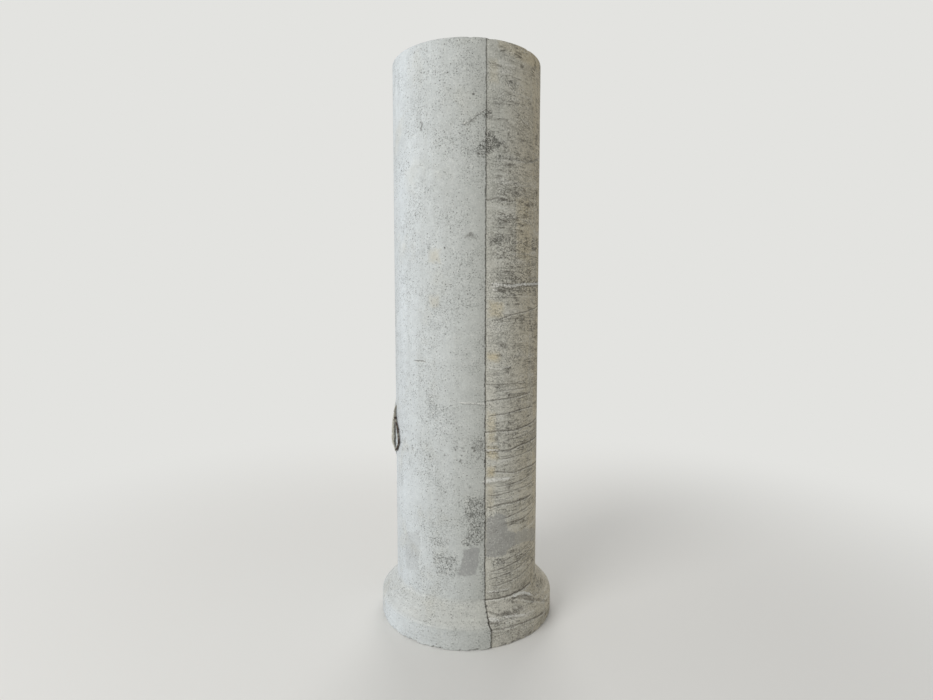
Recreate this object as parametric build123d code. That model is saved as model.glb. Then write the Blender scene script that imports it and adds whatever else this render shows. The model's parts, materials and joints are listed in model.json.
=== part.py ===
from build123d import *
from math import cos, sin
import os

# Socket and spigot pipe, millimetres, standing on its bell. Its axis is Z, and stations
# along it are counted from the bell's face, which is on the floor, up to the spigot's end.
# It is cast in two half moulds that meet on the YZ plane. The half on the -X side has the
# lifting loop, and angles round the pipe are counted from there towards -Y.

# Barrel
bore_diameter = 1200
wall = 85
overall_length = 5160
spigot_round = 8
bore_round = 6

# Bell
bell_diameter = 1668
bell_band_length = 200
bell_cone_length = 160
bell_face_round = 10
bell_shoulder_round = 25
cone_foot_round = 18

# Socket in the bell
joint_gap = 16
socket_depth = 180
socket_shoulder_length = 30
mouth_taper_depth = 24
mouth_taper_length = 40
socket_corner_round = 12

# The half mould on the +X side is narrower and stands off centre, which leaves a step
# along both seams and none opposite the loop
seam_step = 4

# Lifting loop, a bent bar with both ends in the casting. It leans over towards -Y, and
# its widths are shares of its reach, its lengths shares of its span.
bar_diameter = 20
loop_station = 1750
loop_span = 300
loop_reach = 160
loop_rise = 15
loop_embedment = 58
bow_foot = (0.09, 0.52)
bow_near = (0.36, 1.0)
bow_far = (0.74, 0.8)
bow_end = (1.0, 0.24)
tail_length = 95
tail_run_in = 70
tail_sink = 30
leg_bend = 24
bow_bend = 50
tail_bend = 75
cast_in_gap = 0.5

# Concrete lip behind the loop, a crescent that is hollowed out along its foot
lip_front = 20
lip_thickness = 64
lip_height = 50
lip_apex_offset = -15
lip_low_run = 190
lip_high_run = 330
lip_root = 30
lip_round = 12
hollow_length = 230
hollow_height = 15
hollow_depth = 26

bore_radius = bore_diameter / 2
barrel_radius = bore_radius + wall
bell_radius = bell_diameter / 2
socket_radius = barrel_radius + joint_gap
mouth_radius = socket_radius + mouth_taper_depth
cone_foot_station = bell_band_length + bell_cone_length
shoulder_foot_station = socket_depth + socket_shoulder_length
bar_radius = bar_diameter / 2


def rounded(face, radius, station, size):
    corner = face.vertices().sort_by_distance(Vector(radius, station, 0))[0]
    return fillet(corner, size)


def turned(face):
    return revolve(Plane.XZ * face, Axis.Z)


def mould(inset):
    band = bell_radius - inset
    barrel = barrel_radius - inset
    outline = Polyline(
        (0, 0),
        (band, 0),
        (band, bell_band_length),
        (barrel, cone_foot_station),
        (barrel, overall_length),
        (0, overall_length),
        close=True,
    )
    section = make_face(outline)
    section = rounded(section, band, 0, bell_face_round)
    section = rounded(section, band, bell_band_length, bell_shoulder_round)
    section = rounded(section, barrel, cone_foot_station, cone_foot_round)
    return turned(rounded(section, barrel, overall_length, spigot_round))


def core():
    # A flange past the spigot's end gives the bore its rounded rim
    flange_radius = bore_radius + wall / 2
    flange_top = overall_length + wall
    outline = Polyline(
        (0, 0),
        (mouth_radius, 0),
        (socket_radius, mouth_taper_length),
        (socket_radius, socket_depth),
        (bore_radius, shoulder_foot_station),
        (bore_radius, overall_length),
        (flange_radius, overall_length),
        (flange_radius, flange_top),
        (0, flange_top),
        close=True,
    )
    section = make_face(outline)
    section = rounded(section, socket_radius, socket_depth, socket_corner_round)
    section = rounded(section, bore_radius, shoulder_foot_station, socket_corner_round)
    return turned(rounded(section, bore_radius, overall_length, bore_round))


def cast_shell():
    loop_half = split(mould(0), bisect_by=Plane.YZ, keep=Keep.BOTTOM)
    plain_half = split(Pos(seam_step, 0, 0) * mould(seam_step), bisect_by=Plane.YZ, keep=Keep.TOP)
    return loop_half + plain_half - core()


def on_barrel(station, arc, height):
    angle = arc / barrel_radius
    radius = barrel_radius + height
    return Vector(-radius * cos(angle), -radius * sin(angle), station)


def loop_path():
    low = loop_station - loop_span / 2
    high = loop_station + loop_span / 2
    reach = loop_reach - bar_radius
    bow = [
        on_barrel(low + along * loop_span, out * reach, loop_rise)
        for along, out in (bow_foot, bow_near, bow_far, bow_end)
    ]
    points = [
        on_barrel(low, 0, -loop_embedment),
        on_barrel(low, 0, loop_rise),
        *bow,
        on_barrel(high + tail_length, 0, loop_rise),
        on_barrel(high + tail_length + tail_run_in, 0, -tail_sink),
    ]
    bends = [leg_bend, bow_bend, bow_bend, bow_bend, bow_bend, tail_bend]
    return FilletPolyline(*points, radius=bends)


def swept_bar(path, radius):
    return sweep(Plane(path @ 0, z_dir=path % 0) * Circle(radius), path=path)


def loop_lip():
    upright = Plane(origin=(0, lip_front, 0), x_dir=(0, 0, 1), z_dir=(0, -1, 0))
    apex = loop_station + lip_apex_offset
    low_foot = (apex - lip_low_run, barrel_radius)
    high_foot = (apex + lip_high_run, barrel_radius)
    top = (apex, barrel_radius + lip_height)
    low_arc = TangentArc(top, low_foot, tangent=(-1, 0))
    high_arc = TangentArc(top, high_foot, tangent=(1, 0))
    root = Polyline(
        low_foot,
        (low_foot[0], barrel_radius - lip_root),
        (high_foot[0], barrel_radius - lip_root),
        high_foot,
    )
    lip = extrude(upright * make_face([low_arc, high_arc, root]), -lip_thickness)
    crown = lip.faces().filter_by(GeomType.CYLINDER).edges().filter_by(GeomType.CIRCLE)
    lip = fillet(crown, lip_round)
    low_end = (apex - hollow_length / 2, barrel_radius)
    high_end = (apex + hollow_length / 2, barrel_radius)
    hollow_arc = ThreePointArc(low_end, (apex, barrel_radius + hollow_height), high_end)
    hollow = make_face([hollow_arc, Line(high_end, low_end)])
    return lip - extrude(upright * hollow, -hollow_depth)


os.makedirs("parts", exist_ok=True)

path = loop_path()
bar = swept_bar(path, bar_radius)
bar_hole = swept_bar(path, bar_radius + cast_in_gap)
casting = cast_shell() + loop_lip() - bar_hole

export_step(casting, "parts/pipe.step")
export_step(bar, "parts/lifting_loop.step")
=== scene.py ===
import json
import math
import bpy
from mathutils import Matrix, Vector, noise


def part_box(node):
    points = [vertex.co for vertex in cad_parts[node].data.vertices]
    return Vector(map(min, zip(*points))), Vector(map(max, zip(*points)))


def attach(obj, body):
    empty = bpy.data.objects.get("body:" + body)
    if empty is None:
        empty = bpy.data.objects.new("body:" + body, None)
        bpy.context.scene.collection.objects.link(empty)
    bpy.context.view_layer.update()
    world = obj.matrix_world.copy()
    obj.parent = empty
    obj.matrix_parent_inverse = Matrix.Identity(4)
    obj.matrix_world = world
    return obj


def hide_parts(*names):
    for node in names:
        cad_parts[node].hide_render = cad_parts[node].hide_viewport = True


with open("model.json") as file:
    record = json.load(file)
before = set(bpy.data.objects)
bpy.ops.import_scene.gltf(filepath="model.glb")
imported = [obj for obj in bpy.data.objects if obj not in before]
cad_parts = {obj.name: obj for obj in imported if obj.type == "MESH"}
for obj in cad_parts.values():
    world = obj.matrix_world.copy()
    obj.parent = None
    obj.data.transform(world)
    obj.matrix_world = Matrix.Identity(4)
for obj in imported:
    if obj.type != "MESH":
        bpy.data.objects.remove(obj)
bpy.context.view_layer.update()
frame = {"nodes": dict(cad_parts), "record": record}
pipeLow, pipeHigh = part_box("pipe")
mounts = {mount["name"]: mount for mount in frame["record"]["mounts"]}
print("frame: pipe", [round(v, 3) for v in pipeHigh - pipeLow])

seamAngle = math.pi / 2  # both seams, counted round the pipe from the loop's side


def linearColor(code):
    channels = [int(code[i:i + 2], 16) / 255 for i in (1, 3, 5)]
    return [c / 12.92 if c <= 0.04045 else ((c + 0.055) / 1.055) ** 2.4 for c in channels] + [1.0]


def addNode(tree, kind, inputs=(), out=0, **settings):
    # inputs go by position, or by name in a dictionary; what comes back is the output that is asked for
    node = tree.nodes.new("ShaderNode" + kind)
    for name, value in settings.items():
        setattr(node, name, value)
    for key, value in inputs.items() if isinstance(inputs, dict) else enumerate(inputs):
        if isinstance(value, bpy.types.NodeSocket):
            tree.links.new(value, node.inputs[key])
        else:
            node.inputs[key].default_value = value
    return node.outputs[out] if node.outputs else node


def smoothStep(low, high, value):
    t = min(max((value - low) / (high - low), 0), 1)
    return t * t * (3 - 2 * t)


# Camera, where the photograph was taken from, seen from the pipe
camera = {
    "place": (-1.294, -5.362, 3.032),
    "aimHeight": 2.545,
    "lens": 22.0,
}


def addCamera():
    data = bpy.data.cameras.new("camera")
    data.lens = camera["lens"]
    data.sensor_width = 36
    data.clip_end = 200
    obj = bpy.data.objects.new("camera", data)
    bpy.context.scene.collection.objects.link(obj)
    obj.location = camera["place"]
    aim = Vector((0, 0, camera["aimHeight"])) - obj.location
    obj.rotation_euler = aim.to_track_quat("-Z", "Y").to_euler()
    bpy.context.scene.camera = obj


addCamera()
print("camera set")


# Casting: the whole pipe as one closed skin, swept round the axis, metres
casting = {
    "length": pipeHigh.z,
    "bellRadius": pipeHigh.x,
    "boreRadius": mounts["waterway"]["dims"]["r_mm"] / 1000,
    "socketRadius": mounts["socket"]["dims"]["r_mm"] / 1000,
    "wall": 0.085,
    "bandLength": 0.200,
    "coneLength": 0.160,
    "socketDepth": 0.180,
    "socketSlope": 0.030,
    "mouthFlare": 0.024,
    "mouthTaper": 0.040,
    "faceRound": 0.010,
    "shoulderRound": 0.025,
    "coneFootRound": 0.018,
    "spigotRound": 0.008,
    "boreRound": 0.006,
    "socketRound": 0.012,
    "mouthRound": 0.005,
    "roundSteps": 3,
    "seamStep": 0.004,
    "bellSeamStep": 0.009,  # on the bell the half away from the loop is set back further
    "bellStepEnd": (0.20, 0.42),  # heights over which that runs out
    "bellStepFade": 0.75,  # and radians from the seam
    "seamWander": 0.0035,
    "wanderPerMetre": (5, 21),
    "bandSeamJump": 0.016,
    "bandJumpEnd": (0.17, 0.21),
    "seamPull": 0.06,  # radians from the seam over which the skin follows its wander
    "waviness": 0.0016,
    "bellWaviness": 0.0026,
    "bellWavesEnd": (0.22, 0.40),
    "wavesPerMetre": 3.1,
    "ringsPerMetre": 9,
    "columns": 300,
    "seamColumns": (-2.2, -1, -0.04, 0.04, 1, 2.2),  # more columns at each seam, in steps of the next
    "seamColumnStep": math.radians(0.36),
    "barrelSpacing": 0.026,
}
casting["barrelRadius"] = casting["boreRadius"] + casting["wall"]


def profileCorners():
    c = casting
    band, barrel, bore, socket = c["bellRadius"], c["barrelRadius"], c["boreRadius"], c["socketRadius"]
    coneTop = c["bandLength"] + c["coneLength"]
    top = c["length"]
    # radius, height, rounding, spacing of the run that follows, share of the outer skin's dents
    return [
        (band, 0, c["faceRound"], 0.006, 1),
        (band, 0.05, 0, 0.014, 1),
        (band, c["bandLength"], c["shoulderRound"], 0.016, 1),
        (barrel, coneTop, c["coneFootRound"], 0.020, 1),
        (barrel, coneTop + 0.12, 0, c["barrelSpacing"], 1),
        (barrel, top - 0.06, 0, 0.007, 1),
        (barrel, top, c["spigotRound"], 0.012, 1),
        (bore, top, c["boreRound"], 0.010, 0),
        (bore, top - 0.05, 0, 0.16, 0),
        (bore, c["socketDepth"] + c["socketSlope"], c["socketRound"], 0.012, 0),
        (socket, c["socketDepth"], c["socketRound"], 0.025, 0),
        (socket, c["mouthTaper"], 0, 0.014, 0),
        (socket + c["mouthFlare"], 0, c["mouthRound"], 0.018, 0),
    ]


def profilePoints():
    corners = profileCorners()
    count = len(corners)
    arcs = []
    for i, (radius, height, rounding, *_) in enumerate(corners):
        here = Vector((radius, height))
        if rounding == 0:
            arcs.append([here])
            continue
        before = (Vector(corners[i - 1][:2]) - here).normalized()
        after = (Vector(corners[(i + 1) % count][:2]) - here).normalized()
        half = before.angle(after) / 2
        cut = rounding / math.tan(half)
        centre = here + (before + after).normalized() * rounding / math.sin(half)
        start, end = here + before * cut - centre, here + after * cut - centre
        steps = casting["roundSteps"]
        arcs.append([centre + start.lerp(end, k / steps).normalized() * rounding for k in range(steps + 1)])
    points = []
    for i, arc in enumerate(arcs):
        spacing, share = corners[i][3:]
        nextShare = corners[(i + 1) % count][4]
        end, start = arc[-1], arcs[(i + 1) % count][0]
        points += [(p.x, p.y, share) for p in arc]
        steps = max(1, round((start - end).length / spacing))
        for k in range(1, steps):
            p = end.lerp(start, k / steps)
            points.append((p.x, p.y, share + (nextShare - share) * k / steps))
    return points


def columnAngles():
    count = casting["columns"]
    angles = [2 * math.pi * (k + 0.5) / count - math.pi for k in range(count)]
    tooNear = 0.9 * math.pi / count
    for seam in (-seamAngle, seamAngle):
        angles = [angle for angle in angles if abs(angle - seam) > tooNear]
        angles += [seam + casting["seamColumnStep"] * k for k in casting["seamColumns"]]
    return sorted(angles)


def seamShift(angle, height):
    # the parting line wanders a little, and on the bell's band it lies further from the loop
    side = 1 if angle > 0 else -1
    slow, quick = casting["wanderPerMetre"]
    nearness = math.exp(-((abs(angle) - seamAngle) / casting["seamPull"]) ** 2)
    wander = noise.noise(Vector((height * slow, side * 3.1, 0.7)))
    wander += 0.6 * noise.noise(Vector((height * quick, side * 5.3, 4.2)))
    jump = casting["bandSeamJump"] * (1 - smoothStep(*casting["bandJumpEnd"], height))
    return side * nearness * (casting["seamWander"] * wander + jump) / casting["barrelRadius"]


def moulded(angle, height):
    # the half away from the loop was cast in a narrower mould that stood off centre
    if abs(angle) <= seamAngle:
        return 0
    radius, inset = casting["barrelRadius"], casting["seamStep"]
    behind = math.pi - abs(angle)
    step = radius - inset * math.cos(behind)
    step -= math.sqrt((radius - inset) ** 2 - (inset * math.sin(behind)) ** 2)
    bell = 1 - smoothStep(*casting["bellStepEnd"], height)
    fade = math.exp(-((abs(angle) - seamAngle) / casting["bellStepFade"]) ** 2)
    return step + casting["bellSeamStep"] * bell * fade


# Broken edges: where each edge is, which way it breaks back, how far, and how often round the pipe
edges = [
    {
        "at": (casting["bellRadius"], 0), "way": (-1, 1), "reach": 0.024,
        "waves": 13, "seed": 11.3, "bias": -0.15,
    },
    {
        "at": (casting["barrelRadius"], casting["length"]), "way": (-1, -1), "reach": 0.016,
        "waves": 9, "seed": 3.9, "bias": 0.10,
    },
    {
        "at": (casting["boreRadius"], casting["length"]), "way": (1, -1), "reach": 0.016,
        "waves": 7, "seed": 8.1, "bias": 0.12,
    },
    {
        "at": (casting["socketRadius"] + casting["mouthFlare"], 0), "way": (1, 1), "reach": 0.018,
        "waves": 6, "seed": 5.7, "bias": 0.12,
    },
]
chips = {
    "fractal": (0.9, 2.1, 4),
    "fine": (0.35, 6),  # strength of the finer noise, and how much finer it is
    "sharpness": 1.6,
    "least": 0.06,  # share of its reach that an edge loses everywhere
    "depth": 0.62,
}


def chipped(radius, height, angle):
    moveOut, moveUp = 0.0, 0.0
    fine, finer = chips["fine"]
    for edge in edges:
        away = math.hypot(radius - edge["at"][0], height - edge["at"][1])
        if away > edge["reach"]:
            continue
        spot = Vector((math.cos(angle), math.sin(angle), 0)) * edge["waves"] + Vector((0, 0, edge["seed"]))
        bite = noise.fractal(spot, *chips["fractal"]) + fine * noise.noise(spot * finer) - edge["bias"]
        size = edge["reach"] * min(max(bite * chips["sharpness"], chips["least"]), 1)
        depth = max(size - away, 0) * chips["depth"]
        moveOut += edge["way"][0] * depth
        moveUp += edge["way"][1] * depth
    return moveOut, moveUp


def skinPoint(radius, height, share, angle):
    spot = Vector((radius * math.cos(angle), radius * math.sin(angle), height))
    bell = 1 - smoothStep(*casting["bellWavesEnd"], height)
    amount = casting["waviness"] + (casting["bellWaviness"] - casting["waviness"]) * bell
    wave = noise.fractal(spot * casting["wavesPerMetre"], 1.0, 2.0, 3)
    wave += 0.4 * noise.noise(Vector((0.4, 0.7, height * casting["ringsPerMetre"])))
    dent = share * (moulded(angle, height) + amount * (wave + 1) * 0.5)
    inner = (1 - share) * amount * 0.5 * wave if 0.01 < height < casting["length"] - 0.01 else 0
    moveOut, moveUp = chipped(radius, height, angle)
    turn = angle + seamShift(angle, height) * (share > 0)
    radius = radius - dent + inner + moveOut
    return Vector((-radius * math.cos(turn), -radius * math.sin(turn), height + moveUp))


def buildCasting():
    profile = profilePoints()
    angles = columnAngles()
    rows, columns = len(profile), len(angles)
    points = [skinPoint(r, z, share, a) for r, z, share in profile for a in angles]
    faces = []
    for i in range(rows):
        for j in range(columns):
            a, b = i * columns, ((i + 1) % rows) * columns
            k = (j + 1) % columns
            faces.append((a + j, a + k, b + k, b + j))
    mesh = bpy.data.meshes.new("pipe_casting")
    mesh.from_pydata(points, [], faces)
    mesh.update()
    return mesh


# Lip: the crescent of concrete behind the lifting loop, metres
lip = {
    "low": 1.545,
    "high": 2.065,
    "apex": 1.735,
    "tall": 0.047,
    "front": 0.020,
    "back": 0.084,
    "root": 0.030,
    "steps": 60,
    "fullness": 1.8,  # 1 would make its outline a plain triangle
    "unevenness": 0.004,
    "unevenPerMetre": 14,
    "sunk": 0.003,
    "hollowAbove": 0.01,  # how far above the apex the undercut has its middle
    "hollow": (0.085, 0.125),  # from there, where the undercut starts to run out and where it ends
    "hollowDepth": 0.10,  # as a share of the way from front to back
    "roughness": 0.0035,
    "lumpsPerMetre": 38,
    "grainsPerMetre": 90,
    # its cut, in shares of the way from front to back and of its height, or of its root where below zero
    "section": [
        (0.00, -1.0), (0.00, -0.45), (0.10, 0.0), (0.16, 0.25), (0.04, 0.50), (0.02, 0.78), (0.12, 0.95),
        (0.32, 1.0), (0.55, 0.98), (0.78, 0.86), (0.94, 0.62), (1.0, 0.30), (1.0, 0.0), (1.0, -0.45),
        (1.0, -1.0),
    ],
}


def roughPush(spot):
    # Blender's vector noise changes from run to run, so each direction has a plain noise of its own
    push = Vector()
    for axis in range(3):
        apart = spot + Vector((axis * 7.3, axis * 3.1, 0))
        push[axis] = noise.noise(apart * lip["lumpsPerMetre"])
        push[axis] += 0.5 * noise.noise(apart * lip["grainsPerMetre"])
    return push * lip["roughness"]


def buildLip():
    points, faces = [], []
    steps, count = lip["steps"], len(lip["section"])
    for i in range(steps + 1):
        z = lip["low"] + (lip["high"] - lip["low"]) * (i / steps)
        run = lip["apex"] - lip["low"] if z < lip["apex"] else lip["high"] - lip["apex"]
        tall = lip["tall"] * (1 - (abs(z - lip["apex"]) / run) ** lip["fullness"])
        tall += lip["unevenness"] * noise.noise(Vector((z * lip["unevenPerMetre"], 0, 2.0))) - lip["sunk"]
        hollow = 1 - smoothStep(*lip["hollow"], abs(z - lip["apex"] - lip["hollowAbove"]))
        hollow *= lip["hollowDepth"]
        for across, up in lip["section"]:
            lean = across + hollow if up >= 0 and across <= 0.3 else across
            y = lip["front"] + (lip["back"] - lip["front"]) * lean
            out = casting["barrelRadius"] + (tall * up if up > 0 else lip["root"] * up)
            spot = Vector((-out, y, z))
            points.append(spot + roughPush(spot) * (up > -0.4))
    for i in range(steps):
        for j in range(count):
            a, b, k = i * count, (i + 1) * count, (j + 1) % count
            faces.append((a + j, b + j, b + k, a + k))
    faces.append(tuple(range(count)))
    faces.append(tuple(reversed(range(steps * count, (steps + 1) * count))))
    mesh = bpy.data.meshes.new("lip")
    mesh.from_pydata(points, [], faces)
    mesh.update()
    return mesh


def asObject(name, mesh):
    obj = bpy.data.objects.new(name, mesh)
    bpy.context.scene.collection.objects.link(obj)
    return obj


def united(body, addition):
    # the two meshes become one skin, and the second object goes
    joiner = body.modifiers.new("join", "BOOLEAN")
    joiner.operation = "UNION"
    joiner.solver = "MANIFOLD"
    joiner.object = addition
    graph = bpy.context.evaluated_depsgraph_get()
    mesh = bpy.data.meshes.new_from_object(body.evaluated_get(graph))
    body.modifiers.remove(joiner)
    body.data = mesh
    bpy.data.objects.remove(addition)
    return body


pipe = asObject("pipe_casting", buildCasting())
print("casting skin:", len(pipe.data.polygons), "faces")
pipe = united(pipe, asObject("lip", buildLip()))
pipe.data.set_sharp_from_angle(angle=math.radians(38))
print("casting with lip:", len(pipe.data.polygons), "faces")


# Marks on the skin, as outlines: degrees round the pipe from the loop's side, metres up it, and a strength
marks = {
    "patch": [
        (1.05, [(75.5, .86), (85.8, .865), (85.5, .75), (82.5, .61), (71, .60), (70.2, .64), (73.2, .75),
                (74.5, .84)]),
        (0.32, [(21, .88), (38, .95), (39, .81), (36, .58), (20.8, .53), (18.5, .79)]),
        (1.0, [(91, 1.12), (95, 1.135), (100, 1.155), (107, 1.125), (108, 1.05), (110, .965), (118, .93),
               (118, .82), (110, .80), (106.5, .75), (99, .755), (91, .765)]),
        (0.7, [(114, .93), (128.5, .925), (146, .865), (152, .80), (147, .735), (128.5, .805), (114, .825)]),
        (0.35, [(-30, 2.6), (-39, 2.58), (-48, 2.67), (-50, 2.86), (-44, 3.02), (-36, 3.0), (-31, 2.85)]),
        (0.45, [(-64, 1.0), (-73, 1.04), (-80, 1.06), (-83, 1.2), (-77, 1.33), (-70, 1.27), (-66, 1.18)]),
        (0.4, [(-130, 3.2), (-143, 3.17), (-155, 3.27), (-157, 3.4), (-147, 3.52), (-135, 3.47),
               (-128, 3.35)]),
        (0.4, [(163, 1.5), (150, 1.53), (141, 1.64), (139, 1.8), (147, 1.92), (158, 1.86), (167, 1.7)]),
    ],
    "comb": [
        (0.45, [(79, 1.84), (89, 1.86), (90, 1.70), (81, 1.69)]),
        (0.35, [(45, 2.22), (55, 2.2), (54, 1.98), (47, 2.0)]),
        (0.75, [(77, 1.31), (90, 1.31), (90, .87), (74.6, .88), (73, .93), (79, 1.06), (74.6, 1.15)]),
        (0.5, [(46, .93), (64, .945), (65, .855), (53, .855)]),
        (0.55, [(51.5, .78), (70, .80), (70, .60), (53, .60)]),
        (0.7, [(94, .735), (107, .715), (107, .66), (95.7, .67)]),
        (0.5, [(86.5, .74), (90, .74), (90, .46), (87.5, .46)]),
        (1.0, [(83, 4.26), (92, 4.425), (97, 4.39), (109, 4.33), (97, 4.29), (91, 4.21), (85, 4.215)]),
        (1.0, [(89, 4.52), (89.5, 4.62), (94.5, 4.61), (96, 4.57), (93, 4.525)]),
        (0.7, [(91, 3.58), (102, 3.58), (110, 3.56), (102.5, 3.50), (93, 3.48)]),
        (0.8, [(75, 3.565), (79, 3.585), (84, 3.565), (84, 3.53), (80, 3.543), (75.5, 3.55)]),
        (0.65, [(89.5, 4.61), (84, 4.565), (79, 4.515), (74, 4.485), (74, 4.45), (80, 4.47), (85, 4.52),
                (89.5, 4.565)]),
        (0.7, [(98, 4.235), (112, 4.245), (128, 4.25), (147, 4.32), (147, 4.27), (128, 4.205), (112, 4.20),
               (98, 4.195)]),
        (0.5, [(105, 4.87), (115.7, 4.89), (119, 4.84), (112, 4.785), (106, 4.82)]),
        (0.8, [(-88, 2.9), (-97, 2.95), (-100, 3.15), (-90, 3.2)]),
        (0.7, [(-70, .7), (-86, .72), (-88, .95), (-74, .9)]),
    ],
    "smudge": [
        (0.62, [(75, 3.567), (79, 3.587), (84, 3.567), (84, 3.53), (80, 3.543), (75.5, 3.553)]),
        # a deep air hole, painted as a dark smudge: painted shade in it
        (1.0, [(41.3, 4.47), (42.2, 4.515), (43.7, 4.5), (43.3, 4.462)]),
        (0.25, [(80, 1.78), (88, 1.80), (89, 1.74), (82, 1.735)]),
        (0.25, [(103, 2.38), (114, 2.39), (113, 2.31), (104, 2.32)]),
        (0.2, [(93, 3.575), (101, 3.575), (106, 3.555), (100, 3.51), (94, 3.50)]),
        (0.3, [(86, 4.24), (92, 4.40), (97, 4.37), (106, 4.33), (97, 4.30), (91, 4.22)]),
        (0.35, [(90, 4.53), (90.5, 4.61), (94, 4.60), (95, 4.57), (93, 4.535)]),
        (0.5, [(-91, 3.0), (-96, 3.02), (-98, 3.1), (-92, 3.12)]),
    ],
    "tint": [
        (0.4, [(99, 5.16), (150, 5.16), (150, 5.07), (120, 5.04), (99, 5.1)]),
        (0.9, [(92, 2.586), (101, 2.565), (101, 2.504), (92, 2.517)]),
        (0.8, [(92, 1.767), (100, 1.741), (100, 1.633), (92, 1.66)]),
        (1.0, [(92, 1.572), (98, 1.565), (97, 1.485), (92, 1.5)]),
        (0.6, [(92, 2.06), (98, 2.04), (98, 1.79), (92, 1.78)]),
        (0.7, [(93, 3.012), (104, 3.003), (104, 2.884), (93, 2.893)]),
        (0.35, [(115, 3.9), (131, 3.907), (132, 3.384), (116, 3.391)]),
        (0.4, [(49, 3.45), (57, 3.45), (57, 3.35), (49, 3.35)]),
        (0.35, [(49, 3.06), (56, 3.06), (56, 2.97), (49, 2.97)]),
        (0.3, [(93, 4.99), (99, 5.0), (99, 4.82), (93, 4.81)]),
        (0.4, [(92, 1.42), (97, 1.40), (97, 1.18), (92, 1.2)]),
        (0.8, [(-92, 2.2), (-99, 2.2), (-99, 1.9), (-92, 1.9)]),
    ],
}

# Lines on the skin, each with a strength, a width in metres and its places in the same measures: white
# lime that ran out, and dark laps and cracks
lines = {
    "lime": [
        (0.95, 0.008, [(97, 3.165), (110, 3.149), (124, 3.166), (154, 3.182)]),
        (0.7, 0.005, [(96.4, 3.117), (104.4, 3.111), (113.4, 3.124)]),
        (0.6, 0.004, [(73.2, 2.149), (82, 2.147), (90, 2.135)]),
        (0.5, 0.005, [(93.6, 2.448), (101.4, 2.433), (110, 2.452)]),
        (0.9, 0.006, [(92.3, 1.726), (99.3, 1.724)]),
        (0.95, 0.010, [(91.2, 1.452), (100.3, 1.457), (109, 1.449)]),
        (0.6, 0.006, [(92.6, .44), (100.7, .436), (109.6, .427)]),
        (0.9, 0.007, [(114.5, .348), (121, .344), (126, .332), (130, .304)]),
        (0.55, 0.005, [(102.5, .24), (109, .232), (115, .216)]),
        (0.8, 0.009, [(92.3, .245), (95.5, .236)]),
    ],
    "lap": [
        (0.85, 0.005, [(91, .372), (100.8, .366), (110.6, .361), (121, .363), (138, .366)]),
        (0.6, 0.005, [(92, 2.162), (100, 2.169), (110, 2.172), (134, 2.192)]),
        (0.65, 0.004, [(95, 2.032), (107, 2.038), (118, 2.054), (136, 2.059)]),
        (0.7, 0.005, [(91.4, 1.886), (100, 1.892), (114, 1.88), (150, 1.914)]),
        (0.75, 0.005, [(100, 1.714), (110.6, 1.706), (123, 1.735), (152, 1.737)]),
        (0.65, 0.005, [(100, 1.529), (115, 1.495), (129, 1.505), (153, 1.485)]),
        (0.65, 0.004, [(99.6, 2.858), (110, 2.9), (124, 2.923), (156, 2.982)]),
        (0.35, 0.005, [(99, 4.21), (112, 4.221), (128, 4.226), (147, 4.3)]),
        (0.5, 0.006, [(91.6, 3.861), (99, 3.883), (109, 3.867)]),
        (0.7, 0.006, [(94, 1.211), (104, 1.23), (115, 1.222), (136, 1.22)]),
        (0.4, 0.004, [(89.3, 4.587), (84.4, 4.544), (79.5, 4.494), (74.7, 4.467)]),
        (0.6, 0.004, [(35.9, 2.499), (43.3, 2.499)]),
        (0.45, 0.004, [(92, 2.305), (108, 2.295), (126, 2.31)]),
        (0.5, 0.004, [(101, 2.242), (120, 2.246), (143, 2.235)]),
        (0.5, 0.004, [(108, 1.80), (128, 1.812), (150, 1.83)]),
        (0.5, 0.004, [(104, 1.635), (126, 1.645), (151, 1.66)]),
        (0.55, 0.004, [(100, 1.392), (120, 1.40), (150, 1.43)]),
        (0.5, 0.005, [(95, 1.315), (118, 1.33), (143, 1.335)]),
        (0.55, 0.005, [(107, 1.10), (128, 1.12), (152, 1.15)]),
        (0.5, 0.004, [(112, 1.02), (133, 1.05), (152, 1.09)]),
        (0.5, 0.004, [(104, .70), (124, .735), (150, .80)]),
        (0.55, 0.005, [(97, .625), (120, .66), (150, .73)]),
        (0.5, 0.004, [(94, .555), (117, .585), (148, .66)]),
        (0.5, 0.005, [(98, .485), (122, .505), (148, .57)]),
        (0.42, 0.008, [(110, .354), (117.5, .332), (123, .304), (131.5, .26), (139.5, .208)]),
        (0.5, 0.006, [(92.5, .284), (98, .26), (103.5, .252), (110, .25)]),
        (0.45, 0.008, [(91, .225), (95.5, .208), (102, .192)]),
        (0.6, 0.006, [(92, .168), (98.5, .164), (106.5, .164), (120, .152), (134.5, .116)]),
        (0.5, 0.006, [(-95, 1.3), (-110, 1.31), (-130, 1.34), (-150, 1.35)]),
        (0.5, 0.006, [(-93, 2.5), (-112, 2.52), (-140, 2.51)]),
    ],
}


# How the marks and lines go onto the skin, metres
painting = {
    "margin": 0.06,  # further than this from a mark or a line, the distance to it isn't worked out
    "lineFade": (0.026, 0.05),  # away from a line, where it starts to fade and where it has gone
    "barrelSkin": 0.03,  # what lies deeper than this is inside the pipe
    "bellSkin": 0.05,
    "lipMargin": 0.01,
    "lipAngle": 0.2,  # radians to each side that the lip takes up
}


def skinPlace(degrees, height):
    return Vector((math.radians(degrees) * casting["barrelRadius"], height))


def outlineDepth(corners, spot):
    # how far inside the outline the spot is, metres, and below zero outside it
    nearest, inside = 1.0, False
    for a, b in zip(corners, corners[1:] + corners[:1]):
        run = b - a
        share = min(max((spot - a).dot(run) / run.length_squared, 0), 1)
        nearest = min(nearest, (spot - a - run * share).length)
        if (a.y > spot.y) != (b.y > spot.y) and spot.x < a.x + run.x * (spot.y - a.y) / run.y:
            inside = not inside
    return nearest if inside else -nearest


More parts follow.
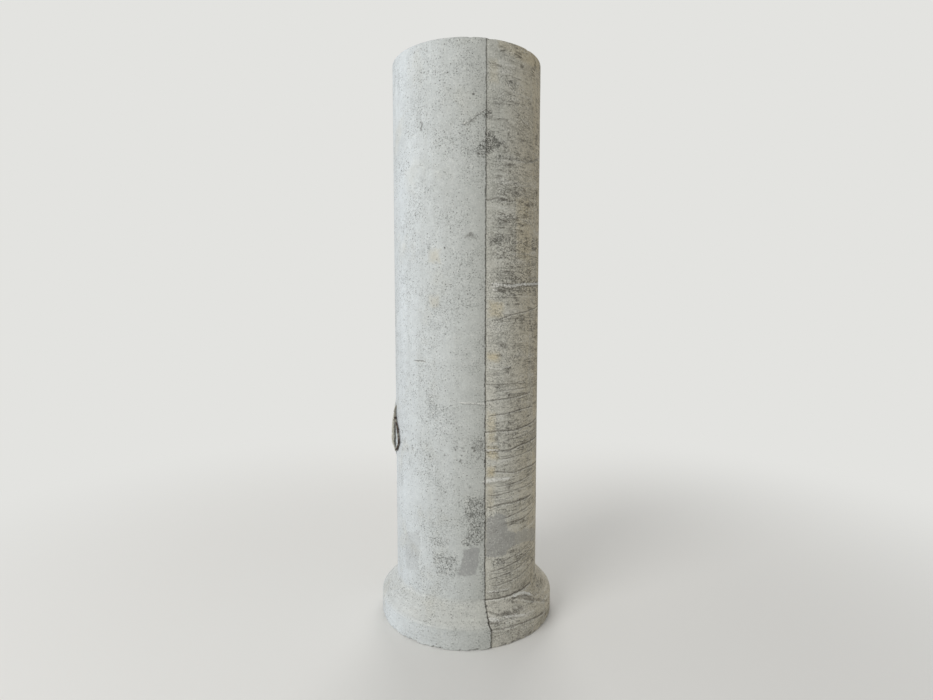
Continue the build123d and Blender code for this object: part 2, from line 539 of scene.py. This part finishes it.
def lineOffset(corners, spot):
    # signed distance across the line, and the distance to it
    best = (0.0, 1.0)
    for a, b in zip(corners, corners[1:]):
        run = b - a
        share = min(max((spot - a).dot(run) / run.length_squared, 0), 1)
        away = (spot - a - run * share).length
        if away < best[1]:
            side = run.x * (spot.y - a.y) - run.y * (spot.x - a.x)
            best = (math.copysign(away, side), away)
    return best


def boxed(shapes, margin):
    out = []
    for strength, *width, places in shapes:
        corners = [skinPlace(*place) for place in places]
        low = Vector((min(p.x for p in corners) - margin, min(p.y for p in corners) - margin))
        high = Vector((max(p.x for p in corners) + margin, max(p.y for p in corners) + margin))
        out.append((strength, width, corners, low, high))
    return out


def paintMarks(mesh):
    margin, fade = painting["margin"], painting["lineFade"]
    outlines = {name: boxed(shapes, margin) for name, shapes in marks.items()}
    strokes = {name: boxed(shapes, margin) for name, shapes in lines.items()}
    names = ["seamOffset", "inside", "lipRise"]
    names += [name + part for name in marks for part in ("Depth", "Share")]
    names += [name + part for name in lines for part in ("Offset", "Reach")]
    layers = {name: [0.0] * len(mesh.vertices) for name in names}
    barrel = casting["barrelRadius"]
    barrelInside, bellInside = barrel - painting["barrelSkin"], casting["bellRadius"] - painting["bellSkin"]
    lipLow, lipHigh = lip["low"] - painting["lipMargin"], lip["high"] + painting["lipMargin"]
    for i, vertex in enumerate(mesh.vertices):
        x, y, z = vertex.co
        radius = math.hypot(x, y)
        angle = math.atan2(-y, -x)
        shift = seamShift(angle, z) * (1 if angle > 0 else -1)
        layers["seamOffset"][i] = (abs(angle) - seamAngle - shift) * barrel
        outside = radius > (barrelInside if z > casting["bandLength"] else bellInside)
        layers["inside"][i] = 0.0 if outside else 1.0
        onLip = lipLow < z < lipHigh and abs(angle) < painting["lipAngle"]
        layers["lipRise"][i] = radius - barrel if onLip else 0.0
        spot = Vector((angle * barrel, z))
        for name, shapes in outlines.items():
            depth, share = -margin, 0.0
            for strength, _, corners, low, high in shapes:
                if outside and low.x < spot.x < high.x and low.y < spot.y < high.y:
                    deep = outlineDepth(corners, spot)
                    if deep > depth:
                        depth, share = deep, strength
            layers[name + "Depth"][i] = depth
            layers[name + "Share"][i] = share
        for name, shapes in strokes.items():
            for strength, width, corners, low, high in shapes:
                if outside and low.x < spot.x < high.x and low.y < spot.y < high.y:
                    offset, away = lineOffset(corners, spot)
                    reach = strength * (1 - smoothStep(*fade, away))
                    if reach > layers[name + "Reach"][i]:
                        layers[name + "Offset"][i] = offset / width[0]
                        layers[name + "Reach"][i] = reach
    for name, values in layers.items():
        mesh.attributes.new(name, "FLOAT", "POINT").data.foreach_set("value", values)
    return names


markLayers = paintMarks(pipe.data)
print("marks painted")


# Concrete, vibrated in a steel mould and left in the open: a dry, matt, bluish grey cement skin full of
# air holes on the half that lay on top, and a beige, streaked one on the half that the rain ran down
concrete = {
    "colors": {
        "skin": "#d1d7da",
        "skinGrey": "#bcc1c2",
        "skinWarm": "#cdcabc",
        # grey used near the seams; on the top half it is partly painted shade
        "skinNearSeam": "#b0b1a9",
        "stained": "#d4d2c6",
        "stainedGrey": "#c6c5bb",
        "stainedDeep": "#cdbf9f",
        "stainedLow": "#b3aea0",
        "bore": "#aeaca3",
        "boreStain": "#98948a",
        "endFace": "#cccac1",
        "patch": "#8f8f8d",
        "tint": "#cdb470",
        "streak": "#453f34",
        "lime": "#e6e5de",
        "lip": "#9b9789",
        # painted shade for the hollow under the lip
        "undercut": "#3a362f",
        # painted shade inside air holes, small pits and cracks
        "hole": "#55554f",
        # the joint's dark line together with painted shadow under the step
        "seam": "#3b3830",
    },
    # Noises: size round the pipe and up it in millimetres, detail, roughness, distortion
    "noises": {
        "cloud": (588, 588, 4, 0.6, 0),
        "warmth": (303, 303, 3, 0.6, 0),
        "crowd": (278, 278, 4, 0.7, 0),
        "breaks": (91, 91, 4, 0.7, 0),
        "blotch": (71.4, 71.4, 4, 0.65, 0),
        "curl": (38.5, 38.5, 2, 0.5, 0),
        "wobble": (33.3, 33.3, 4, 0.65, 0),
        "gritty": (13.9, 13.9, 4, 0.75, 0),
        "grain": (7, 7, 2, 0.6, 0),  # sand is half as large; drawn at twice its size so that it shows
        "upright": (111, 1818, 3, 0.6, 0),
        "drawn": (450, 55, 4, 0.62, 0.5),
        "short": (50, 11.8, 4, 0.72, 0),
        "bands": (625, 125, 4, 0.65, 0),
        "worm": (56, 28, 2, 0.55, 0),
        "hoops": (400, 14.3, 3, 0.6, 0),
    },
    # Air holes: one cell of the pattern in millimetres, the share of cells that hold a hole where they are
    # few and where they crowd, and the least and largest hole as a share of its cell
    "holes": {
        "fineHoles": (12.5, 0.05, 0.85, 0.18, 0.40),
        "smallHoles": (22, 0.05, 0.70, 0.10, 0.28),
        "bigHoles": (110, 0.05, 0.30, 0.04, 0.085),
    },
    "holeShake": (17, 6),  # noise that shakes the cells out of line: its size and reach, millimetres
    "holeEdge": (1.2, 0.7),  # where a hole starts to show and where it is full, in shares of its size
    "crowding": (0.40, 0.62),  # from few to crowded, in the crowd noise
    # Edges made ragged: the painted field and the noise that pushes it, between which of the noise's
    # values, and how far at each of the two, in metres or in widths of the line
    "ragged": {
        "patchEdge": ("patchDepth", "wobble", 0.3, 0.7, -0.016, 0.016),
        "tintEdge": ("tintDepth", "wobble", 0.3, 0.7, -0.016, 0.016),
        "smudgeEdge": ("smudgeDepth", "wobble", 0.3, 0.7, -0.016, 0.016),
        "combEdge": ("combDepth", "blotch", 0.3, 0.7, -0.028, 0.022),
        "rise": ("lipRise", "wobble", 0.3, 0.7, -0.004, 0.004),
        "lime": ("limeOffset", "wobble", 0.25, 0.75, -1.2, 1.2),
        "lap": ("lapOffset", "wobble", 0.25, 0.75, -1.2, 1.2),
        "seamShifted": ("seamOffset", "wobble", 0.25, 0.75, -0.008, 0.008),
    },
    # Masks that are made of others, written as a coat's are; each may use those above it
    "masks": {
        "weather": [("sideways", -0.42, 0.15, 1, 0.42)],  # the far side is sheltered
        "outside": [("inside", 1, 0)],
        "below": [("seamOffset", -0.0005, 0.0015), ("outside",)],
        "patch": [("patchEdge", -0.006, 0.006), ("patchShare",)],
        "tint": [("tintEdge", -0.022, 0.022), ("tintShare",)],
        "smudge": [("smudgeEdge", -0.010, 0.010), ("smudgeShare",)],
        "comb": [("combEdge", -0.012, 0.016), ("combShare",)],
        "bare": [("patch", 0.21, 0.71, 1, 0.30)],  # patches have fewer holes and streaks
        "streaked": [("below",), ("bare",), ("weather",), ("seamOffset", 0.01, 0.16, 0.30, 1)],
        "limeThere": [("limeReach",), ("gritty", 0.36, 0.50, 0.45, 1)],
        "lapThere": [("lapReach",), ("gritty", 0.36, 0.50, 0.45, 1)],
    },
    # Distances from a line: the field, and the value that it has on the line
    "contours": {
        "drawnLine": ("drawn", 0.54),
        "wormLine": ("worm", 0.5),
        "curlLine": ("curl", 0.5),
        "lapLine": ("lap", 0),
        "lapEdge": ("lap", -2.5),
        "limeLine": ("lime", 0),
        "limeEdge": ("lime", -2.5),
        # the seam's line lies 3 mm onto the half away from the loop, which is set back, where the painted
        # shadow of the step falls
        "fromSeam": ("seamShifted", 0.003),
    },
    # Coats, each over the last: colour, strength, relief in millimetres, and the masks that all have to
    # hold. A mask is a field of the surface, with the values between which it fades in.
    "coats": [
        # the half that lay on top: nearly even, greyer and darker towards the seams, partly its own colour
        # and partly painted shade of light that falls off away from the loop's side, and warmer on the cone
        ("skinGrey", 0.55, 0, ("cloud", 0.42, 0.72)),
        ("skinWarm", 0.30, 0, ("warmth", 0.55, 0.75)),
        ("skinGrey", 0.45, 0, ("upright", 0.50, 0.68)),
        # partly painted shade: greyer and darker all the way from near the crest to the seams
        ("skinNearSeam", 0.85, 0, ("seamOffset", -0.85, -0.02)),
        ("skinWarm", 0.28, 0, ("height", 0.40, 0.34), ("height", 0.17, 0.22)),
        # inside, and on the spigot's end
        ("bore", 1, 0, ("inside",)),
        ("boreStain", 1, 0, ("inside",), ("cloud", 0.40, 0.65)),
        ("endFace", 1, 0, ("inside",), ("height", casting["length"] - 0.03, casting["length"] - 0.004)),
        # the half that the rain ran down: grey near the seam higher up, browner away from it, dull low down
        ("stained", 1, 0, ("below",)),
        ("stainedGrey", 1, 0, ("below",), ("blotch", 0.36, 0.66)),
        ("skinNearSeam", 0.75, 0, ("below",), ("seamOffset", 0.45, 0.02), ("height", 2.9, 4.1)),
        ("stainedDeep", 0.75, 0, ("below",), ("seamOffset", 0.14, 0.62), ("weather",)),
        ("stainedGrey", 0.35, 0, ("below",), ("upright", 0.48, 0.62)),
        ("stainedLow", 0.35, 0, ("below",), ("height", 1.3, 0.45)),
        # bare paste, yellow tints and dark smudges; the smudges lie mostly on honeycombed spots and on one
        # deep air hole, dirt with painted shade in the voids
        ("patch", 0.70, 0, ("patch",)),
        ("tint", 0.42, 0, ("tint",)),
        ("streak", 0.75, 0, ("smudge",)),
        # streaks round the pipe, broken up, with paler runs, short dashes and wormlike pits between them
        ("streak", 0.07, 0, ("streaked",), ("drawn", 0.57, 0.70)),
        ("streak", 0.70, -3.5, ("streaked",), ("drawnLine", 0.055, 0.008), ("breaks", 0.46, 0.60)),
        ("lime", 0.40, 0, ("streaked",), ("drawn", 0.44, 0.30)),
        ("streak", 0.60, -2.2, ("streaked",), ("short", 0.44, 0.37), ("bands", 0.42, 0.60, 0.30, 1),
         ("cloud", 0.40, 0.60, 0.35, 1), ("height", 5.0, 4.2, 0.6, 1)),
        ("streak", 0.70, -3, ("streaked",), ("wormLine", 0.055, 0.022), ("bands", 0.42, 0.58, 0.25, 1),
         ("height", 1.7, 3.1, 0.30, 1), ("height", 4.6, 3.7, 0.30, 1)),
        # laps and cracks with a pale edge along one side, lime runs with a dark one
        ("lime", 0.55, 0, ("lapEdge", 1.3, 0.4), ("lapThere",)),
        ("streak", 0.95, -4, ("lapLine", 1.7, 0.8), ("lapThere",)),
        ("streak", 0.55, 0, ("limeEdge", 1.3, 0.4), ("limeThere",)),
        ("lime", 1, 3, ("limeLine", 1.7, 0.8), ("limeThere",)),
        # the lip behind the loop: rougher, greyer paste, with painted shade in its undercut
        ("lip", 0.85, 0, ("rise", 0.004, 0.014)),
        ("skinWarm", 0.72, 0, ("rise", 0.004, 0.014), ("gritty", 0.4, 0.6)),
        # painted shade: the lower band of the lip, where the undercut is, darkened
        ("undercut", 0.75, 0, ("rise", 0.027, 0.018), ("rise", 0.001, 0.004), ("height", 1.61, 1.65),
         ("height", 1.86, 1.82)),
        # specks and pale grit, then the air holes; specks and holes are pits, darkened with painted shade
        ("hole", 1, -2, ("gritty", 0.47, 0.36), ("crowd", 0.40, 0.60, 0.30, 1), ("bare",),
         ("below", 0, 1, 0.40, 0.60)),
        ("lime", 1, 0, ("gritty", 0.54, 0.66), ("below", 0, 1, 0.30, 0.50)),
        ("hole", 0.55, -1.2, ("fineHoles",)),
        ("hole", 0.62, -2.6, ("smallHoles",)),
        ("hole", 0.80, -5, ("bigHoles",)),
        # honeycombed concrete: pale lumps with dark curly cracks between them, the cracks darkened with
        # painted shade
        ("lime", 0.45, 1, ("comb",), ("gritty", 0.53, 0.62)),
        ("hole", 0.82, -2.5, ("comb",), ("curlLine", 0.045, 0.012)),
        ("hole", 0.55, -2, ("comb",), ("gritty", 0.50, 0.40)),
        # the seam's dark line, partly the joint's own colour and partly painted shadow that the proud half's
        # edge casts on the set-back half, a little ragged and weaker towards the spigot
        ("seam", 0.84, -2, ("fromSeam", 0.0095, 0.0035), ("height", 4.9, 2.4, 0.68, 1),
         ("wobble", 0.38, 0.54, 0.45, 1), ("outside",)),
    ],
    # Relief of the bare skin, in millimetres, and of the mould's hoops on the bell, with how both shade it
    "relief": {"wobble": 1, "grain": 0.5, "blotch": 2.0},
    "hoopRelief": 3,
    "hoopBand": (0.42, 0.36),  # heights between which the hoops start to show
    "hoopTone": (-0.2, 0.2, 0.93, 1.06),
    "mottleTone": (0.72, 1.28, 0.90, 1.08),
    "bump": {"Strength": 0.8, "Distance": 0.001},
    "finish": {"Roughness": 0.92, "IOR": 1.5},
}


def allHold(tree, field, masks):
    # how far all the masks hold at once
    amount = None
    for name, *fade in masks:
        mask = addNode(tree, "MapRange", [field[name], *fade]) if fade else field[name]
        amount = addNode(tree, "Math", [amount, mask], operation="MULTIPLY") if amount else mask
    return amount


def surfaceFields(tree):
    place = addNode(tree, "TexCoord", out="Object")
    axes = addNode(tree, "SeparateXYZ", [place]).node.outputs
    field = {name: addNode(tree, "Attribute", out="Fac", attribute_name=name) for name in markLayers}
    field["sideways"], field["height"] = axes["Y"], axes["Z"]
    for name, (around, up, detail, roughness, distortion) in concrete["noises"].items():
        perMetre = (1000 / around, 1000 / around, 1000 / up)
        scaled = addNode(tree, "Mapping", {"Vector": place, "Scale": perMetre})
        field[name] = addNode(tree, "TexNoise", {
            "Vector": scaled, "Scale": 1, "Detail": detail, "Roughness": roughness, "Distortion": distortion})

    for name, (source, noiseName, *fade) in concrete["ragged"].items():
        push = addNode(tree, "MapRange", [field[noiseName], *fade])
        field[name] = addNode(tree, "Math", [field[source], push], operation="ADD")
    for name, masks in concrete["masks"].items():
        field[name] = allHold(tree, field, masks)
    for name, (source, middle) in concrete["contours"].items():
        away = addNode(tree, "Math", [field[source], middle], operation="SUBTRACT")
        field[name] = addNode(tree, "Math", [away], operation="ABSOLUTE")

    # air holes: a cell pattern, shaken a little, of which only some cells hold a hole
    shakeSize, shakeReach = concrete["holeShake"]
    shake = addNode(tree, "TexNoise", {"Vector": place, "Scale": 1000 / shakeSize, "Detail": 2}, out="Color")
    shake = addNode(tree, "VectorMath", [shake, [shakeReach / 1000] * 3], operation="MULTIPLY")
    shaken = addNode(tree, "VectorMath", [place, shake], operation="ADD")
    for name, (cell, least, most, small, large) in concrete["holes"].items():
        cells = addNode(tree, "TexVoronoi", {"Vector": shaken, "Scale": 1000 / cell}).node.outputs
        chance = addNode(tree, "SeparateColor", [cells["Color"]]).node.outputs
        crowding = addNode(tree, "MapRange", [field["crowd"], *concrete["crowding"], least, most])
        crowding = addNode(tree, "Math", [crowding, field["comb"]], operation="ADD")
        crowding = addNode(tree, "Math", [crowding, field["bare"]], operation="MULTIPLY")
        field["held"] = addNode(tree, "Math", [chance[0], crowding], operation="LESS_THAN")
        size = addNode(tree, "MapRange", [chance[1], 0, 1, small, large])
        field["fromMiddle"] = addNode(tree, "Math", [cells["Distance"], size], operation="DIVIDE")
        field[name] = allHold(tree, field, [("fromMiddle", *concrete["holeEdge"]), ("held",)])
    return field


def concreteMaterial():
    material = bpy.data.materials.new("vibrated concrete, weathered")
    material.use_nodes = True
    tree = material.node_tree
    tree.nodes.clear()
    tone = {name: linearColor(code) for name, code in concrete["colors"].items()}
    field = surfaceFields(tree)

    relief = 0
    for name, height in concrete["relief"].items():
        relief = addNode(tree, "Math", [field[name], height, relief], operation="MULTIPLY_ADD")
    color = tone["skin"]
    for name, strength, height, *masks in concrete["coats"]:
        held = allHold(tree, field, masks)
        amount = addNode(tree, "Math", [held, strength], operation="MULTIPLY")
        color = addNode(tree, "Mix", {0: amount, 6: color, 7: tone[name]}, out=2, data_type="RGBA")
        if height:
            relief = addNode(tree, "Math", [held, height, relief], operation="MULTIPLY_ADD")

    # lines that the mould's hoops left round the bell, and fine mottling over everything
    field["hoop"] = addNode(tree, "Math", [field["hoops"], 0.5], operation="SUBTRACT")
    hoop = allHold(tree, field, [("hoop",), ("height", *concrete["hoopBand"]), ("outside",)])
    relief = addNode(tree, "Math", [hoop, concrete["hoopRelief"], relief], operation="MULTIPLY_ADD")
    mottle = addNode(tree, "Math", [field["grain"], field["blotch"]], operation="ADD")
    for source, limits in ((hoop, concrete["hoopTone"]), (mottle, concrete["mottleTone"])):
        value = addNode(tree, "MapRange", [source, *limits])
        color = addNode(tree, "HueSaturation", {"Value": value, "Color": color})

    bump = addNode(tree, "Bump", {"Height": relief, **concrete["bump"]})
    shader = addNode(tree, "BsdfPrincipled", {"Base Color": color, "Normal": bump, **concrete["finish"]})
    addNode(tree, "OutputMaterial", [shader])
    return material


pipe.data.materials.clear()
pipe.data.materials.append(concreteMaterial())
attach(pipe, "root")
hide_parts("pipe")
print("concrete done")


# What the loop's bar and its tie wire have in common
steelSkin = {
    "rustFade": (0.38, 0.62),
    "filmFade": 0.08,
    "roughness": (0.72, 0.95),  # of the rust, and of the cement over it
    "metallic": 0.1,
    "bump": {"Strength": 0.6, "Distance": 0.001},
}

# Hot-rolled bar: mill scale and rust under a splashed film of cement, dull and patchy
loopBar = {
    "rust": "#4d3b31",
    "rustDark": "#241e1b",
    "cement": "#8a877d",
    "cementShare": 0.35,
    "scaleSize": 11,  # millimetres, as are the next two
    "splashSize": 38.5,
    "pitSize": 4,
    "buried": (1.604, 1.915),  # heights at which the bar's foot and its tail go into the casting
    "pasteReach": (0.012, 0.03),  # how far paste sticks to the bar from each of them
    "pasteBreaks": (0.36, 0.46),
}


def barMaterial(name, steel):
    material = bpy.data.materials.new(name)
    material.use_nodes = True
    tree = material.node_tree
    tree.nodes.clear()
    tone = {key: linearColor(steel[key]) for key in ("rust", "rustDark", "cement")}
    place = addNode(tree, "TexCoord", out="Object")
    scale = addNode(tree, "TexNoise", {
        "Vector": place, "Scale": 1000 / steel["scaleSize"], "Detail": 5, "Roughness": 0.7})
    rust = addNode(tree, "MapRange", [scale, *steelSkin["rustFade"]])
    color = addNode(tree, "Mix", {0: rust, 6: tone["rustDark"], 7: tone["rust"]}, out=2, data_type="RGBA")
    splash = addNode(tree, "TexNoise", {"Vector": place, "Scale": 1000 / steel["splashSize"], "Detail": 4})
    start = 0.62 - steel["cementShare"] * 0.3  # most of the noise lies between 0.32 and 0.62
    film = addNode(tree, "MapRange", [splash, start, start + steelSkin["filmFade"]])
    if "buried" in steel:
        # more paste sticks to the bar near both of the heights where it goes into the casting
        (foot, tail), (footReach, tailReach) = steel["buried"], steel["pasteReach"]
        height = addNode(tree, "SeparateXYZ", [place], out="Z")
        nearFoot = addNode(tree, "MapRange", [height, foot + footReach, foot])
        nearTail = addNode(tree, "MapRange", [height, tail, tail + tailReach])
        ends = addNode(tree, "Math", [nearFoot, nearTail], operation="MAXIMUM")
        broken = addNode(tree, "MapRange", [scale, *steel["pasteBreaks"]])
        coat = addNode(tree, "Math", [ends, broken], operation="MULTIPLY")
        film = addNode(tree, "Math", [film, coat], operation="MAXIMUM")
    color = addNode(tree, "Mix", {0: film, 6: color, 7: tone["cement"]}, out=2, data_type="RGBA")
    pits = addNode(tree, "TexNoise", {"Vector": place, "Scale": 1000 / steel["pitSize"], "Detail": 3})
    relief = addNode(tree, "Math", [film, pits], operation="ADD")
    bump = addNode(tree, "Bump", {"Height": relief, **steelSkin["bump"]})
    roughness = addNode(tree, "MapRange", [film, 0, 1, *steelSkin["roughness"]])
    shader = addNode(tree, "BsdfPrincipled", {
        "Base Color": color, "Roughness": roughness, "Normal": bump, "Metallic": steelSkin["metallic"]})
    addNode(tree, "OutputMaterial", [shader])
    return material


loop = frame["nodes"]["lifting_loop"]
loop.data.materials.clear()
loop.data.materials.append(barMaterial("hot-rolled steel bar, rusted", loopBar))
print("loop done")


# Tie wire, soft annealed steel wound round the bar's upper run: thin, brown with rust, its end sticking out
tieWire = {
    "station": 1.905,
    "runOn": 0.03,  # to the second place that gives the bar's direction
    "barRadius": 0.010,
    "wire": 0.0028,
    "turns": 5,
    "turnPoints": 16,
    "pitch": 0.0042,
    "looseness": 0.0012,
    "tail": 0.055,
    "tailWay": (-1, -0.25, 0.5),
    "tailLift": 0.45,
    "tailPoints": 24,
    "tailTwists": 2.5,
    "tailSway": 0.002,
    "rust": "#4a3226",
    "rustDark": "#241a15",
    "cement": "#6d665a",
    "cementShare": 0.1,
    "scaleSize": 11,
    "splashSize": 38.5,
    "pitSize": 3,
}


def barCentre(height):
    # the middle of the bar's cut at that height
    crossings = []
    for edge in loop.data.edges:
        a, b = (loop.data.vertices[i].co for i in edge.vertices)
        if (a.z - height) * (b.z - height) < 0:
            crossings.append(a.lerp(b, (height - a.z) / (b.z - a.z)))
    return sum(crossings, Vector()) / len(crossings)


def buildTieWire():
    w = tieWire
    start = barCentre(w["station"])
    along = (barCentre(w["station"] + w["runOn"]) - start).normalized()
    side = along.orthogonal().normalized()
    other = along.cross(side)
    points = []
    for k in range(w["turns"] * w["turnPoints"] + 1):
        turn = k / w["turnPoints"] * 2 * math.pi
        radius = w["barRadius"] + w["wire"] * 0.55 + w["looseness"] * noise.noise(Vector((k * 0.21, 3, 1)))
        points.append(start + along * w["pitch"] * k / w["turnPoints"]
                      + side * math.cos(turn) * radius + other * math.sin(turn) * radius)
    tip = points[-1]
    outward = Vector(w["tailWay"]).normalized()
    sideways = outward.cross(along).normalized()
    for k in range(1, w["tailPoints"] + 1):
        t = k / w["tailPoints"]
        twist = t * w["tailTwists"] * 2 * math.pi
        points.append(tip + outward * w["tail"] * t * w["tailLift"] + along * w["tail"] * t
                      + sideways * w["tailSway"] * math.cos(twist))
    curve = bpy.data.curves.new("tie_wire", "CURVE")
    curve.dimensions = "3D"
    curve.bevel_depth = w["wire"] / 2
    curve.bevel_resolution = 2
    curve.use_fill_caps = True
    spline = curve.splines.new("POLY")
    spline.points.add(len(points) - 1)
    for point, spot in zip(spline.points, points):
        point.co = (*spot, 1)
    maker = asObject("tie_wire_path", curve)
    graph = bpy.context.evaluated_depsgraph_get()
    mesh = bpy.data.meshes.new_from_object(maker.evaluated_get(graph))
    bpy.data.objects.remove(maker)
    return asObject("tie_wire", mesh)


wire = buildTieWire()
wire.data.materials.clear()
wire.data.materials.append(barMaterial("annealed tie wire, rusted", tieWire))
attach(wire, "root")
print("tie wire done")


# Studio: a pale floor in matt paint, with no gloss, that runs out into the backdrop, and soft light that
# comes mostly from the loop's side
studio = {
    "floor": "#e6e5e1",
    "background": "#e3e3e0",
    "floorSize": 120,
    "floorFade": (2.5, 8.0),  # metres from the pipe over which the floor turns into backdrop
    "floorRoughness": 0.9,
    "skyStrength": 0.42,
    "lamps": [
        {"name": "key", "place": (-12.5, -8.1, 8.5), "size": 10.0, "watts": 1500},
        {"name": "rear", "place": (4.5, 14.0, 8.5), "size": 10.0, "watts": 1000},
    ],
}


def showsBackground(tree):
    # 1 for rays that the camera sees, straight or in a reflection
    rays = addNode(tree, "LightPath").node.outputs
    return addNode(tree, "Math", [rays["Is Camera Ray"], rays["Is Glossy Ray"]], operation="MAXIMUM")


def buildFloor():
    half = studio["floorSize"] / 2
    mesh = bpy.data.meshes.new("floor")
    corners = [(-half, -half, 0), (half, -half, 0), (half, half, 0), (-half, half, 0)]
    mesh.from_pydata(corners, [], [(0, 1, 2, 3)])
    floor = asObject("floor", mesh)
    material = bpy.data.materials.new("matt floor paint")
    material.use_nodes = True
    tree = material.node_tree
    tree.nodes.clear()
    place = addNode(tree, "TexCoord", out="Object")
    away = addNode(tree, "VectorMath", [place], out="Value", operation="LENGTH")
    far = addNode(tree, "MapRange", [away, *studio["floorFade"]], interpolation_type="SMOOTHSTEP")
    fade = addNode(tree, "Math", [far, showsBackground(tree)], operation="MULTIPLY")
    paint = addNode(tree, "BsdfPrincipled", {
        "Base Color": linearColor(studio["floor"]), "Roughness": studio["floorRoughness"]})
    backdrop = addNode(tree, "Emission", [linearColor(studio["background"]), 1.0])
    mixed = addNode(tree, "MixShader", [fade, paint, backdrop])
    addNode(tree, "OutputMaterial", [mixed])
    mesh.materials.append(material)


def buildSky():
    world = bpy.data.worlds.new("studio")
    bpy.context.scene.world = world
    world.use_nodes = True
    tree = world.node_tree
    tree.nodes.clear()
    soft = addNode(tree, "Background", [(1, 1, 1, 1), studio["skyStrength"]])
    shown = addNode(tree, "Background", [linearColor(studio["background"]), 1.0])
    mixed = addNode(tree, "MixShader", [showsBackground(tree), soft, shown])
    addNode(tree, "OutputWorld", [mixed])


def buildLamps():
    for lamp in studio["lamps"]:
        data = bpy.data.lights.new(lamp["name"], "AREA")
        data.shape = "DISK"
        data.size = lamp["size"]
        data.energy = lamp["watts"]
        obj = asObject(lamp["name"], data)
        obj.location = lamp["place"]
        obj.visible_camera = False
        aim = Vector((0, 0, casting["length"] / 2)) - obj.location
        obj.rotation_euler = aim.to_track_quat("-Z", "Y").to_euler()


buildFloor()
buildSky()
buildLamps()
bpy.context.scene.view_settings.view_transform = "Standard"
print("studio done")
